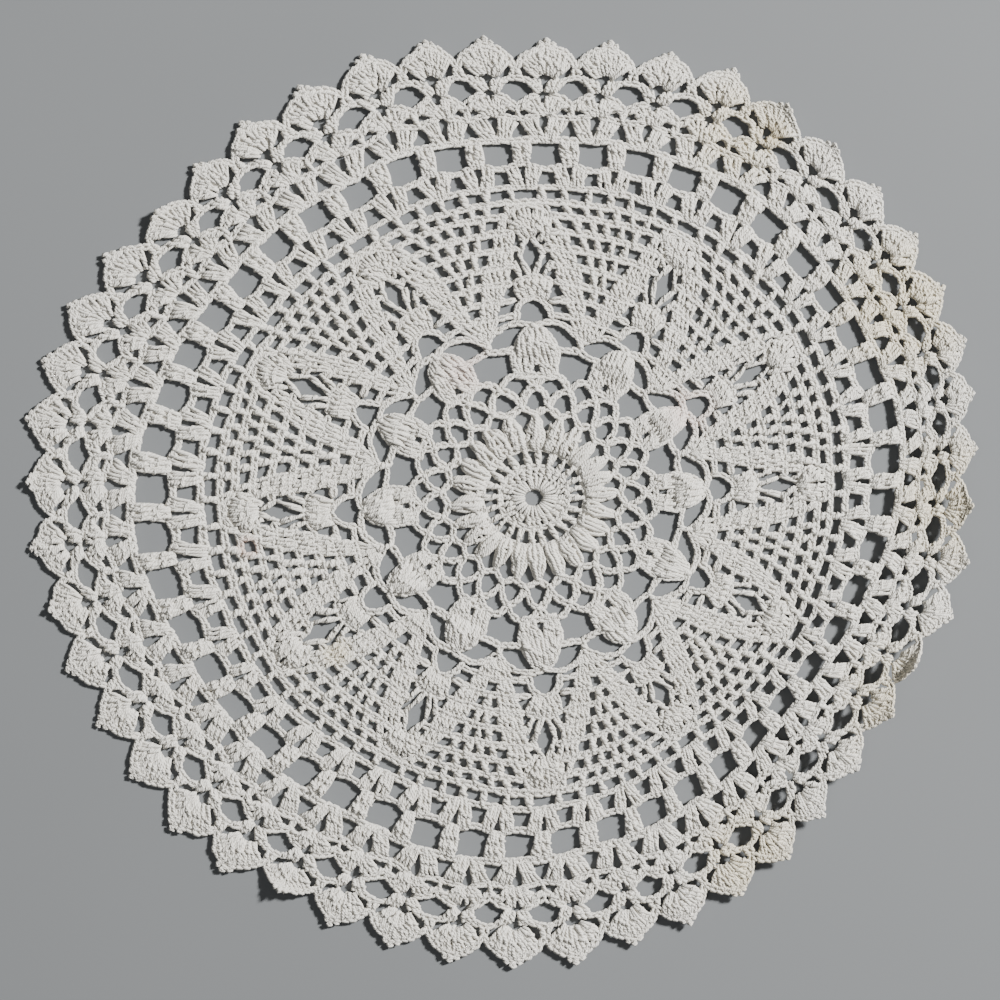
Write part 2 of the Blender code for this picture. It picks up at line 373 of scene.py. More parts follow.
def stitches(foot, head, thick=1.0, wraps=1, bow=0.0, loose=0.17):
    """Upright stitches from feet to heads: bow lifts their middles, loose scatters their ends."""
    foot, head = np.reshape(foot, (-1, 3)), np.reshape(head, (-1, 3))
    count = len(foot)
    foot = foot + hand.normal(0.0, loose, foot.shape) * (1, 1, 0.4)
    head = head + hand.normal(0.0, loose, foot.shape) * (1, 1, 0.4)
    plump = thick * hand.normal(1.0, 0.06, (count, 1))
    length = np.linalg.norm((head - foot)[:, :2], axis=1)[:, None]
    along = (head - foot) / np.maximum(length, 1e-6)
    along[:, 2] = 0.0
    across = np.cross(along, (0.0, 0.0, 1.0))
    rise = np.array([0.0, 0.0, 1.0])
    t = np.linspace(0.0, 1.0, 5)
    made = []
    turn = hand.uniform(0.0, 2 * np.pi, (count, 1))
    twist = hand.normal(1.2, 0.2, (count, 1)) * np.pi
    level = foot[:, 2:] * (1 - t) + head[:, 2:] * t + STITCH_HEIGHT + bow * np.sin(np.pi * t)
    for strand in (0.0, np.pi):
        phase = turn + strand + twist * t
        wide = STRAND_ASIDE * plump * np.cos(phase)
        high = STRAND_UP * plump * np.sin(phase)
        path = foot[:, None] * (1, 1, 0) + (along * length)[:, None] * t[None, :, None]
        path = path + across[:, None] * wide[..., None] + rise * (level + high)[..., None]
        made.append(thread(path, THREAD * plump, 5))
    for wrap in range(wraps):
        middle = (wrap + 1) / (wraps + 1) + hand.normal(0.0, 0.05, (count, 1))
        lap = np.linspace(-0.30, 1.40, 5)[None, :] * np.pi
        slide = middle * length + WRAP_RUN * (lap / np.pi - 0.55)
        wide = WRAP_ASIDE * plump * np.cos(lap)
        high = WRAP_UP * plump * np.sin(lap)
        ground = foot[:, 2:] + STITCH_HEIGHT + 0.22 + bow * np.sin(np.pi * middle)
        path = foot[:, None] * (1, 1, 0) + along[:, None] * slide[..., None]
        path = path + across[:, None] * wide[..., None] + rise * (ground + high)[..., None]
        made.append(thread(path, THREAD * 0.92 * plump, 4))
    return made


def fan(directions, feet, heads, **how):
    """The same stitches at many directions: feet and heads as (across, radius) pairs, in mm."""
    directions = np.asarray(directions, float)[:, None]
    feet, heads = np.array(feet, float), np.array(heads, float)
    foot = place(directions, feet[:, 0], feet[:, 1])
    head = place(directions, heads[:, 0], heads[:, 1])
    return stitches(foot, head, **how)


def both_sides(*pairs):
    """(across, radius) pairs with their mirror images."""
    return [(side * across, radius) for across, radius in pairs for side in (-1.0, 1.0)]


# Directions of what repeats: the star's points, the nodes between them, the petals, the ladder's
# posts, and the shells and scallops between the posts.
POINT_AXES = np.arange(POINTS) * 30.0
NODE_AXES = POINT_AXES + 15.0
PETAL_AXES = np.arange(24) * 15.0
POST_AXES = np.arange(SCALLOPS) * 7.5
SHELL_AXES = POST_AXES + 3.75
print("a stitch is", round(2 * (STRAND_ASIDE + THREAD), 2), "mm wide")

# %% [markdown]
# ## The middle: ring, spokes and petals
# The work starts as a small ring, hidden under 32 strands that wrap it, with a bumpy round of 28
# stitches outside them. Then 24 stitches stand apart as spokes, and on them sit 24 petals. A petal
# is a puff: a bundle of long loops, all worked into one place and closed together, so it bulges. A
# smooth egg shape would bulge too, but the strands are what the eye sees, so ten of them are laid
# in three layers. Each wanders a little, because it is pulled up loose. Three more cross them on
# the slant, and one ties the tip.

# %% Work the middle
RIM_STRANDS, BUMPS = 32, 28
PETAL_FOOT, PETAL_TIP, PETAL_HALF_WIDTH, PETAL_BULGE = 14.8, 24.9, 2.15, 0.9


def wrapped_ring():
    """Strands over the rim of the middle hole, and the bumpy round outside them."""
    count = (RIM_STRANDS, 1)
    around = np.arange(RIM_STRANDS)[:, None] * 360.0 / RIM_STRANDS + hand.normal(0.0, 1.4, count)
    radius = np.array([2.85, 2.5, 2.9, 4.0, 5.2, 6.5])
    height = np.array([0.3, 0.8, 1.45, 1.65, 1.5, 1.1])
    lean = np.linspace(0.0, 0.5, 6) * hand.normal(1.0, 0.5, count)
    path = place(around, lean, radius + hand.normal(0.0, 0.10, (RIM_STRANDS, 6)), height)
    # The strands thin toward the rim, where they are pulled tight, and a second layer lies below.
    made = [thread(path, np.array([0.26, 0.28, 0.32, 0.40, 0.46, 0.48]), 5)]
    made.append(thread(path[:, 2:] - (0.0, 0.0, 0.45), 0.4, 4))
    bumps = np.arange(BUMPS) * 360.0 / BUMPS
    made += fan(bumps, [(0.0, 5.9)], [(0.35, 9.3)], thick=0.95, wraps=2, loose=0.2)
    return made


def petals(directions):
    """Puffs: three layers of strands, three that cross them, and one that ties each tip."""
    made = []
    count = len(directions)
    directions = np.asarray(directions)[:, None]
    t = np.linspace(0.0, 1.0, 8)
    lean_of_petal = hand.normal(0.0, 0.3, (count, 1))
    size = hand.normal(1.0, 0.08, (count, 1))
    # Each layer's height, how many strands it has, and how much of the petal's width they take.
    for lift, strands, fill in ((0.0, 3, 0.9), (0.55, 4, 1.0), (1.0, 3, 0.6)):
        for strand in np.linspace(-1.0, 1.0, strands):
            swell = np.sin(np.pi * t ** hand.uniform(0.65, 0.85, (count, 1))) ** 0.75
            stray = hand.normal(0.0, 0.16, (count, 1)) + hand.normal(0.0, 0.13, (count, len(t)))
            cross = hand.normal(0.0, 0.5, (count, 1)) * (t - 0.5)
            across = (strand * fill + stray + cross) * PETAL_HALF_WIDTH * size
            across = across * (0.46 - 0.10 * t + 0.58 * swell) + lean_of_petal * t
            crown = 1.0 - 0.4 * (strand * fill) ** 2
            height = 0.6 + 0.2 * swell + (0.5 + PETAL_BULGE * crown * swell) * lift
            height = height + hand.normal(0.0, 0.07, (count, len(t)))
            reach = PETAL_TIP - hand.uniform(0.0, 1.6, (count, 1)) * abs(strand)
            radius = PETAL_FOOT + (reach - PETAL_FOOT) * t
            path = place(directions, across, radius, height)
            made.append(thread(path, 0.54 + 0.06 * swell[:1], 5))
    for wrap in (0.22, 0.42, 0.62):
        lap = np.linspace(-0.1, 1.1, 6) * np.pi
        at = PETAL_FOOT + (PETAL_TIP - PETAL_FOOT) * (wrap + hand.normal(0.0, 0.04, (count, 1)))
        wide = PETAL_HALF_WIDTH * size * (1.15 - 0.7 * abs(wrap - 0.3))
        slant = hand.choice((-1.0, 1.0), (count, 1)) * 1.8
        path = place(directions, lean_of_petal * wrap + wide * np.cos(lap),
                     at + slant * (lap / np.pi - 0.5), 0.75 + 1.35 * np.sin(lap))
        made.append(thread(path, THREAD * 0.95, 4))
    lap = np.linspace(0.0, 2.2, 8) * np.pi
    middle = lean_of_petal + 0.7 * np.cos(lap)
    tie = place(directions, middle, PETAL_TIP - 0.3, 0.95 + 0.55 * np.sin(lap))
    made.append(thread(tie, THREAD, 5))
    return made


def work_middle():
    """The ring, its spokes, the petals, and the wavy chain that tops them."""
    made = wrapped_ring()
    made.append(chain(ring_route(9.7), width=0.9, closed=True))
    made += fan(PETAL_AXES + 4.0, [(0.0, 9.4)], [(0.0, 15.2)], thick=1.15, loose=0.2)
    made.append(chain(ring_route(15.2), width=0.85, closed=True, lift=-0.15))
    made += petals(PETAL_AXES)
    around = np.arange(0, 360, 1.25)
    wave = 26.2 + 0.95 * np.cos(np.radians(around * 24 + 180))
    made.append(chain(place(around, 0.0, wave), closed=True))
    return made


middle = work_middle()
print("the middle has", triangles(middle), "triangles")

# %% [markdown]
# ## Loop net and leaves
# Two rounds of open loops follow, each loop hooked into the middle of the one below, and then
# twelve leaves with big holes between them. A leaf is two rows of eight stitches: the first row
# stands in two groups with a slit between, and the second row bulges and draws in to a point.
# Chain runs from leaf to leaf twice: once from the shoulders, and once in arches from point to
# point.

# %% Work the loop net and the leaves
def work_loop_net():
    """The two rounds of loops, and the chains and short stitches between the leaves."""
    made = []
    for axis in PETAL_AXES:
        made.append(chain(arch(axis - 7.3, 27.7, axis + 7.3, 27.7, 33.2, 0.8)))
        made.append(chain(arch(axis + 0.5, 33.6, axis + 14.5, 33.6, 37.0, 0.8)))
    made += fan(PETAL_AXES + 7.5, [(0.0, 26.6)], [(0.0, 28.6)], thick=1.0, wraps=1)
    made += fan(PETAL_AXES, [(0.0, 32.4)], [(0.0, 34.2)], thick=1.0, wraps=1)
    for axis in POINT_AXES:
        made.append(chain(arch(axis - 8.0, 36.2, axis + 8.0, 36.2, 36.6)))
        for side in (-1.0, 1.0):
            made.append(chain(arch(axis + side * 6.3, 44.6, axis + side * 15.0, 45.2, 44.4)))
            made.append(chain(arch(axis, 51.6, axis + side * 15.0, 47.6, 52.2, 0.9)))
            sidewall = np.array([(4.3, 36.6), (5.0, 38.8), (5.5, 41.0), (5.6, 43.0), (4.8, 45.2)])
            made.append(chain(place(axis, side * sidewall[:, 0], sidewall[:, 1]), width=0.8))
    made += fan(NODE_AXES, [(0.0, 44.4)], [(0.0, 49.2)], thick=1.2)
    made += fan(POINT_AXES, [(0.0, 50.0)], [(0.0, 52.2)], thick=1.25)
    return made


def work_leaves():
    """Each leaf's two rows of stitches, and the chain down its sides."""
    made = []
    low = both_sides((1.7, 36.7), (2.6, 36.6), (3.5, 36.5), (4.4, 36.9))
    waist = both_sides((1.2, 42.3), (2.5, 42.4), (3.8, 42.3), (5.0, 41.8))
    made += fan(POINT_AXES, low, waist)
    made += fan(POINT_AXES, [(0.0, 39.8)], [(0.0, 42.8)])
    shoulder = both_sides((0.7, 41.9), (2.0, 42.0), (3.3, 41.9), (4.6, 41.6))
    dome = both_sides((0.6, 51.2), (1.6, 50.8), (2.6, 49.9), (3.6, 48.0))
    made += fan(POINT_AXES, shoulder, dome, thick=1.1, bow=0.6)
    made += fan(POINT_AXES, both_sides((1.4, 44.0)), both_sides((1.2, 49.4)), bow=1.1, wraps=0)
    outside = np.array([(5.0, 42.4), (4.9, 45.0), (4.1, 47.6), (2.7, 49.8), (0.9, 51.3)])
    for side in (-1.0, 1.0):
        made += chains(
            route_through(POINT_AXES, side * outside[:, 0], outside[:, 1]), width=0.8, lift=-0.1
        )
    return made


loop_net, leaves = work_loop_net(), work_leaves()
print("loop net:", triangles(loop_net), "leaves:", triangles(leaves), "triangles")

# %% [markdown]
# ## The star and its mesh
# The star has twelve points, worked in seven rounds. Its bands start side by side in a shell on
# each node between two leaves, lean apart, and close over the next leaf's axis. Inside a point
# come an oval hole, a solid shell, leaning stitches that leave a diamond-shaped hole, and a domed
# shell at the tip. Between the points the mesh grows by one cell in every round. For each round
# the table gives how many degrees from the point's axis the band ends at its foot and at its head,
# how many stitches it has, and how many degrees from the axis it starts.

# %% Work the star
STAR_RINGS = np.array([55.3, 60.3, 65.2, 70.3, 75.6, 80.6, 85.3, 89.6])  # the rounds' radii
BAND_INSET = 0.75  # from a band's edge to its first stitch, mm
Row = namedtuple("Row", "outer_foot outer_head stitches inner_foot inner_head")
ROWS = (
    Row(13.8, 13.2, 4, 9.3, 7.9),
    Row(12.7, 12.1, 5, 7.3, 5.7),
    Row(11.6, 10.7, 5, 5.8, 4.7),
    Row(10.2, 8.9, 5, 4.6, 3.5),
    Row(8.4, 7.1, 4, 3.7, 2.4),
    Row(6.7, 5.3, 2, 5.0, 4.0),
    Row(4.6, 3.6, 1, 4.6, 3.6),
)


def work_bands():
    """The shells on the nodes, and the bands that lean from them to the points."""
    made = []
    node_feet = [(step * 0.42, 49.0) for step in range(-3, 4)]
    node_heads = [(step * 1.62, 55.2 - 0.06 * step**2) for step in range(-3, 4)]
    made += fan(NODE_AXES, node_feet, node_heads, thick=0.95)
    for row, low, high in zip(ROWS, STAR_RINGS, STAR_RINGS[1:]):
        low_inset, high_inset = np.degrees(BAND_INSET / low), np.degrees(BAND_INSET / high)
        feet = np.linspace(row.outer_foot - low_inset, row.inner_foot + low_inset, row.stitches)
        heads = np.linspace(row.outer_head - high_inset, row.inner_head + high_inset, row.stitches)
        for side in (-1.0, 1.0):
            for foot, head in zip(feet, heads):
                made += stitches(
                    place(POINT_AXES + side * foot, 0.0, low),
                    place(POINT_AXES + side * head, 0.0, high),
                )
    return made


def work_points():
    """What stands inside each point of the star, from the oval hole to the domed tip."""
    made = []
    for axis in POINT_AXES:
        made.append(chain(arch(axis - 5.0, 53.6, axis + 5.0, 53.6, 60.2, 0.6)))
        for side in (-1.0, 1.0):
            made.append(chain(part_ring(axis + side * 4.8, axis + side * 10.2, 54.9)))
            made.append(chain(part_ring(axis + side * 4.2, axis + side * 9.6, 59.6)))
    base = both_sides((0.5, 60.4), (1.4, 60.3), (2.3, 60.1), (3.2, 59.6))
    crown = both_sides((0.7, 66.4), (2.1, 66.3), (3.5, 65.9), (4.9, 65.0))
    made += fan(POINT_AXES, base, crown, thick=0.98, bow=0.2)
    made += fan(POINT_AXES, both_sides((0.9, 63.0), (2.6, 62.8)),
                both_sides((0.9, 66.2), (2.6, 66.0)), thick=0.9, bow=0.5)
    made += chains(route_through(POINT_AXES, [-5.2, 0.0, 5.2], [65.2, 66.8, 65.2]))
    made += fan(POINT_AXES, both_sides((0.6, 66.6), (3.0, 66.4)),
                both_sides((3.2, 73.6), (5.2, 71.4)))
    made += fan(POINT_AXES, both_sides((3.4, 73.6)), both_sides((0.6, 79.4)))
    made += fan(POINT_AXES, both_sides((0.35, 79.0), (0.9, 79.2), (1.5, 79.6), (2.0, 80.4)),
                both_sides((0.75, 87.9), (2.3, 87.5), (3.8, 86.4), (5.0, 84.7)), wraps=2, bow=0.5)
    made += fan(POINT_AXES, both_sides((2.4, 78.0), (4.2, 79.6)),
                both_sides((4.4, 82.0), (5.6, 84.4)))
    tip = route_through(POINT_AXES, [-5.6, -4.0, 0.0, 4.0, 5.6], [84.9, 87.3, 88.7, 87.3, 84.9])
    made += chains(tip, width=0.8)
    return made


def work_mesh():
    """The mesh cells between the points, and the round of spokes above the star."""
    made = []
    for cells, (row, low, high) in enumerate(zip(ROWS, STAR_RINGS, STAR_RINGS[1:]), start=1):
        for post in range(1, cells):
            share = post / cells
            foot = row.outer_foot + share * (30.0 - 2 * row.outer_foot)
            head = row.outer_head + share * (30.0 - 2 * row.outer_head)
            made += stitches(place(POINT_AXES + foot, 0.0, low),
                             place(POINT_AXES + head, 0.0, high), thick=1.3, loose=0.24)
    for spoke in (2.6, 6.8, 11.0, 15.0, 19.0, 23.2, 27.4):
        made += fan(POINT_AXES + spoke, [(0.0, 89.8)], [(0.0, 94.2)], thick=1.3, loose=0.25)
    return made


def work_rings():
    """The chain that tops each round, left out where the inside of a point breaks it."""
    made = []
    for radius, broken in zip(STAR_RINGS[:-1], (9.6, 6.6, 4.8, 3.6, 2.4, 3.4, 3.9)):
        for axis in POINT_AXES:
            route = part_ring(axis + broken, axis + 30 - broken, radius)
            made.append(chain(route, width=1.12, thick=1.06))
    made.append(chain(ring_route(89.3), width=1.15, closed=True, thick=1.06))
    return made


star = {
    "star_bands": work_bands(),
    "star_points": work_points(),
    "mesh_cells": work_mesh(),
    "star_rings": work_rings(),
}
for name, work in star.items():
    print(name, triangles(work), "triangles")

# %% [markdown]
# ## Ladder and shell border
# The ladder has 48 posts, each a group of four stitches with two short ones over them, and a wide
# gap between. V shells under the posts carry them. On the bar over each gap sits a shell with a
# slit, whose stitches wrap right over the bar. A second shell stands on it and reaches out to both
# its neighbours, and a V goes up from its middle, so that six-sided holes are left under the
# valleys of the edge. Solid pads with cut holes would be lighter, but these rounds are where the
# thread shows best, so every stitch is worked.

# %% Work the ladder and the shells
LADDER_FOOT = 94.2  # the radius of the chain under the ladder


def work_ladder():
    """The V shells, the posts on them, and the bar over the gaps."""
    made = [
        chain(ring_route(LADDER_FOOT), width=1.1, closed=True),
        chain(ring_route(FLAT_BAR), width=1.2, closed=True, thick=1.15),
    ]
    made += fan(POST_AXES, both_sides((0.5, 93.7), (1.4, 93.6), (2.3, 93.8)),
                both_sides((1.9, 101.8), (3.4, 101.5), (4.8, 100.8)), bow=0.2)
    made += fan(POST_AXES, both_sides((0.5, 101.4), (1.45, 101.4)),
                both_sides((0.75, 110.0), (2.2, 110.0)), wraps=2, thick=1.12)
    made += fan(POST_AXES, both_sides((0.7, 105.6)), both_sides((1.2, 109.2)), bow=0.5)
    for axis in POST_AXES:
        made.append(chain(arch(axis + 1.2, 101.9, axis + 6.3, 101.9, 100.4, 0.5)))
        made.append(chain(arch(axis - 1.2, 101.7, axis + 1.2, 101.7, 102.0, 0.5), width=0.9))
    return made


def work_lower_shells():
    """A shell of eight stitches on the bar over each gap, with a slit down its middle."""
    made = []
    feet = both_sides((0.4, 109.3), (1.15, 109.3), (1.9, 109.3), (2.65, 109.3))
    heads = both_sides((2.3, 116.8), (3.7, 116.6), (5.1, 116.2), (6.4, 115.7))
    made += fan(SHELL_AXES, feet, heads, thick=1.02)
    made += chains(route_through(SHELL_AXES, [-1.0, -4.5, -7.9], [117.8, 117.1, 116.3]))
    made += chains(route_through(SHELL_AXES, [1.0, 4.5, 7.9], [117.8, 117.1, 116.3]))
    return made


def work_upper_shells():
    """The second shells, the stitches that tie them to their neighbours, and the Vs on them."""
    made = []
    feet = both_sides((0.5, 117.6), (1.1, 117.6), (1.6, 117.8), (2.1, 118.3), (3.8, 121.6))
    heads = both_sides((1.5, 123.3), (3.0, 122.9), (4.3, 122.0), (5.6, 121.0), (8.2, 119.2))
    made += fan(SHELL_AXES, feet, heads, thick=1.05)
    made += chains(route_through(SHELL_AXES, [-1.7, -4.4, -8.2], [124.0, 123.1, 120.3]))
    made += chains(route_through(SHELL_AXES, [1.7, 4.4, 8.2], [124.0, 123.1, 120.3]))
    made += fan(POST_AXES, [(0.0, 116.0)], [(0.0, 120.6)], thick=1.25, wraps=0)
    made += fan(SHELL_AXES, [(0.0, 117.9)], [(0.0, 121.7)], wraps=0)
    feet = both_sides((0.6, 125.0), (1.3, 124.7), (2.2, 124.4))
    heads = both_sides((2.2, 128.2), (3.7, 128.7), (5.3, 128.6))
    made += fan(SHELL_AXES, feet, heads, thick=1.08)
    return made


ladder, lower_shells, upper_shells = work_ladder(), work_lower_shells(), work_upper_shells()
print("ladder", triangles(ladder), "shells", triangles(lower_shells), triangles(upper_shells))

# %% [markdown]
# ## The scalloped edge
# Each scallop is a fan of nine tall stitches worked into one loop, with short ones filled in
# between their heads, and the loop's middle stays open as an eye. An edge of chain closes it from
# valley to valley, a short second chain runs inside the tip, and three tiny loops, the picots,
# stand on it. Chain also runs under the valleys and ties each fan to the next. The outline could
# be a plain arc, but a fan's middle stitches are its longest, so the edge comes to a blunt point.

# %% Work the scallops
FAN_MIDDLE = 127.2  # the radius of the fans' loops
FAN_SPREAD, EDGE_SPREAD = 48.0, 62.0  # how far the stitches and the edge lean, in degrees
TIP_REACH, VALLEY_REACH = 11.3, 9.7  # from a fan's middle to its edge
Picot = namedtuple("Picot", "lean reach size")
PICOTS = (Picot(-8.0, 11.6, 0.9), Picot(0.0, 12.5, 1.0), Picot(8.0, 11.6, 0.9))


def on_fan(lean_degrees, reach):
    """(across, radius) of a point by its lean and its distance from the fan's middle."""
    lean = np.radians(np.asarray(lean_degrees, float))
    return np.sin(lean) * reach, FAN_MIDDLE + np.cos(lean) * reach


def edge_reach(lean_degrees):
    """How far the edge is from the fan's middle: nearly round, with a blunt point at the tip."""
    share = np.abs(np.asarray(lean_degrees, float)) / EDGE_SPREAD
    return TIP_REACH - (TIP_REACH - VALLEY_REACH) * share**0.8


def work_fans():
    """Nine tall stitches to a scallop, eight short ones between them, and one at each side."""
    made = []
    tall = np.linspace(-FAN_SPREAD, FAN_SPREAD, 9)
    for lean, starts, short, how in (
        (tall, 2.8, 0.5, {"thick": 1.05, "bow": 0.3}),
        (tall[:-1] + FAN_SPREAD / 8, 6.4, 0.8, {"thick": 0.95}),
    ):
        feet = np.column_stack(on_fan(lean, starts))
        heads = np.column_stack(on_fan(lean, edge_reach(lean) - short))
        made += fan(SHELL_AXES, feet, heads, loose=0.28, **how)
    for side in (-1.0, 1.0):
        made += fan(SHELL_AXES, [(side * 7.3, 129.2)], [(side * 8.3, 131.9)])
    return made


def work_edging():
    """The chains round each scallop, inside its tip and in the valleys, and the picots."""
    made = []
    lean = np.linspace(-EDGE_SPREAD, EDGE_SPREAD, 15)
    edge = route_through(SHELL_AXES, *on_fan(lean, edge_reach(lean) - 0.2))
    made += chains(edge, link=2.0, width=1.1, lift=0.1, thick=1.08)
    made += chains(route_through(SHELL_AXES, *on_fan(np.linspace(-17, 17, 5), 9.9)))
    for side in (-1.0, 1.0):
        across = [side * 9.0, side * 6.4, side * 3.8]
        made += chains(route_through(SHELL_AXES, across, [128.9, 128.6, 127.7]))
    for picot in PICOTS:
        around = np.linspace(-0.9, 2.0 * np.pi - 2.2, 7) + np.radians(90 + picot.lean)
        across, radius = on_fan(picot.lean, picot.reach)
        across = across - 0.7 * picot.size * np.cos(around)
        radius = radius + 0.7 * picot.size * np.sin(around)
        loop = route_through(SHELL_AXES, across, radius)
        made += chains(loop, link=1.6, width=0.5, lift=0.1, thick=0.9)
    return made


scallop_fans, edging = work_fans(), work_edging()
print("scallops:", triangles(scallop_fans), "and", triangles(edging), "triangles")

# %% [markdown]
# ## Undyed crochet cotton
# The thread is mercerised cotton: fine fibres twisted into plies and three plies twisted into a
# cord, then soaked under tension so that it shines a little. Years of washing have dulled that, so
# the cloth looks matt, with soft light along the edges of the threads from loose fibres. It reads
# as an off-white that is never one colour: age has left some of it yellower, and there are faint
# pink and tan marks. A picture could hold all that, but nodes do it from real places and sizes.
# The twist follows the thread map that every tube carries, with a ply every 0.9 mm, and lowers
# the grooves between plies. The grooves are also darkened in the colour: this is painted shade,
# where the plies shade each other. The marks are soft round areas on the cloth.

# %% Mix the cotton
def linear(hex_colour):
    """An sRGB hex value as linear red, green, blue and alpha."""
    value = [int(hex_colour[i : i + 2], 16) / 255 for i in (1, 3, 5)]
    return [c / 12.92 if c <= 0.04045 else ((c + 0.055) / 1.055) ** 2.4 for c in value] + [1.0]


def node(tree, kind, links=None, **settings):
    """Adds a node. Settings go on it or its inputs by name, and links are input: output pairs."""
    made = tree.nodes.new(kind)
    for name, value in settings.items():
        if hasattr(made, name):
            setattr(made, name, value)
        else:
            made.inputs[name.replace("_", " ")].default_value = value
    for name, output in (links or {}).items():
        tree.links.new(made.inputs[name], output)
    return made


def blend(tree, factor, first, second, blend_type="MIX"):
    """Mixes two colours by a factor. Each is a hex value or another node's output."""
    made = node(tree, "ShaderNodeMix", {"Factor": factor}, data_type="RGBA", blend_type=blend_type)
    for socket, colour in ((made.inputs[6], first), (made.inputs[7], second)):
        if isinstance(colour, str):
            socket.default_value = linear(colour)
        else:
            tree.links.new(socket, colour)
    return made.outputs[2]


def times(tree, output, factor):
    """An output times a number."""
    made = node(tree, "ShaderNodeMath", {0: output}, operation="MULTIPLY")
    made.inputs[1].default_value = factor
    return made.outputs[0]


PLIES = 3
PLY_PITCH = 0.9  # mm of thread for each ply that passes
# The third colour is painted shade for the grooves between plies, where they shade each other.
PALE, DULL, PAINTED_GROOVE_SHADE = "#dfdcd5", "#d3cfc5", "#c4beb0"
# Marks on the cloth: centre from the middle of the box in mm, size in mm, colour and how strong.
Mark = namedtuple("Mark", "x y size colour strength")
MARKS = (
    Mark(-75.5, -13.0, 5.0, "#c79f8e", 0.55),
    Mark(-49.0, -44.5, 7.0, "#d6c48f", 0.30),
    Mark(82.0, 110.0, 7.0, "#a99468", 0.55),
    Mark(-10.5, 41.0, 11.0, "#dcc0ba", 0.35),
    Mark(57.0, 28.0, 11.0, "#dcc0ba", 0.35),
    Mark(72.0, 112.0, 22.0, "#d3c6a2", 0.45),
    Mark(120.0, 60.0, 30.0, "#d3c6a2", 0.55),
    Mark(137.0, 0.0, 28.0, "#d3c6a2", 0.50),
    Mark(122.0, -60.0, 28.0, "#d3c6a2", 0.50),
    Mark(76.0, -106.0, 24.0, "#d3c6a2", 0.50),
)


def cotton_thread():
    """Mercerised cotton cord, off-white and matt, with its marks, its twist and painted shade in
    the grooves.
    """
    material = bpy.data.materials.new("mercerised_cotton")
    material.use_nodes = True
    tree = material.node_tree
    shader = tree.nodes["Principled BSDF"]
    # Washed fibres scatter the light, so highlights are wide and weak.
    shader.inputs["Roughness"].default_value = 0.72
    # Cellulose, which cotton is made of, reflects a little from every fibre, as a pale sheen.
    shader.inputs["IOR"].default_value = 1.53
    # Loose fibres catch the light at the edges of each thread.
    shader.inputs["Sheen Weight"].default_value = 0.25
    shader.inputs["Sheen Roughness"].default_value = 0.5
    place_on_cloth = node(tree, "ShaderNodeTexCoord").outputs["Object"]
    thread_map = node(tree, "ShaderNodeUVMap", uv_map="thread").outputs["UV"]

    # Patches about 20 mm across, a little duller or paler, break up the one colour.
    patches = node(tree, "ShaderNodeTexNoise", {"Vector": place_on_cloth}, Scale=45.0, Detail=3.0)
    shade = blend(tree, patches.outputs["Fac"], PALE, DULL)
    for mark in MARKS:
        away = node(tree, "ShaderNodeVectorMath", {0: place_on_cloth}, operation="DISTANCE")
        away.inputs[1].default_value = (mark.x * MM, mark.y * MM, 0.001)
        fade = node(
            tree, "ShaderNodeMapRange", {"Value": away.outputs["Value"]},
            interpolation_type="SMOOTHSTEP", From_Min=0.2 * mark.size * MM,
            From_Max=mark.size * MM, To_Min=mark.strength, To_Max=0.0,
        )
        shade = blend(tree, fade.outputs["Result"], shade, mark.colour)

    # The twist is a wave that goes round the thread and along it at once.
    split = node(tree, "ShaderNodeSeparateXYZ", {"Vector": thread_map})
    around = times(tree, split.outputs["X"], PLIES * 2 * math.pi)
    along = times(tree, split.outputs["Y"], 2 * math.pi / PLY_PITCH)
    turn = node(tree, "ShaderNodeMath", {0: around, 1: along}, operation="ADD")
    twist = node(tree, "ShaderNodeMath", {0: turn.outputs[0]}, operation="SINE")
    # Painted shade: the colour is darkened where the wave is low, in the grooves between plies.
    groove_shade = node(tree, "ShaderNodeMapRange", {"Value": twist.outputs[0]},
                  From_Min=-1.0, From_Max=0.3, To_Min=0.5, To_Max=0.0)
    groove_shaded_colour = blend(tree, groove_shade.outputs["Result"], shade, PAINTED_GROOVE_SHADE, "MULTIPLY")
    tree.links.new(shader.inputs["Base Color"], groove_shaded_colour)

    # Fibres a few tenths of a millimetre apart roughen the plies. The relief is 0.08 mm deep.
    fibres = node(tree, "ShaderNodeTexNoise", {"Vector": place_on_cloth}, Scale=2600.0, Detail=2.0)
    height = node(tree, "ShaderNodeMath", {0: fibres.outputs["Fac"], 2: twist.outputs[0]},
                  operation="MULTIPLY_ADD")
    height.inputs[1].default_value = 1.4
    relief = node(tree, "ShaderNodeBump", {"Height": height.outputs[0]},
                  Strength=0.7, Distance=0.08 * MM)
    tree.links.new(shader.inputs["Normal"], relief.outputs["Normal"])
    return material


cotton = cotton_thread()
print("cotton has", len(cotton.node_tree.nodes), "nodes")
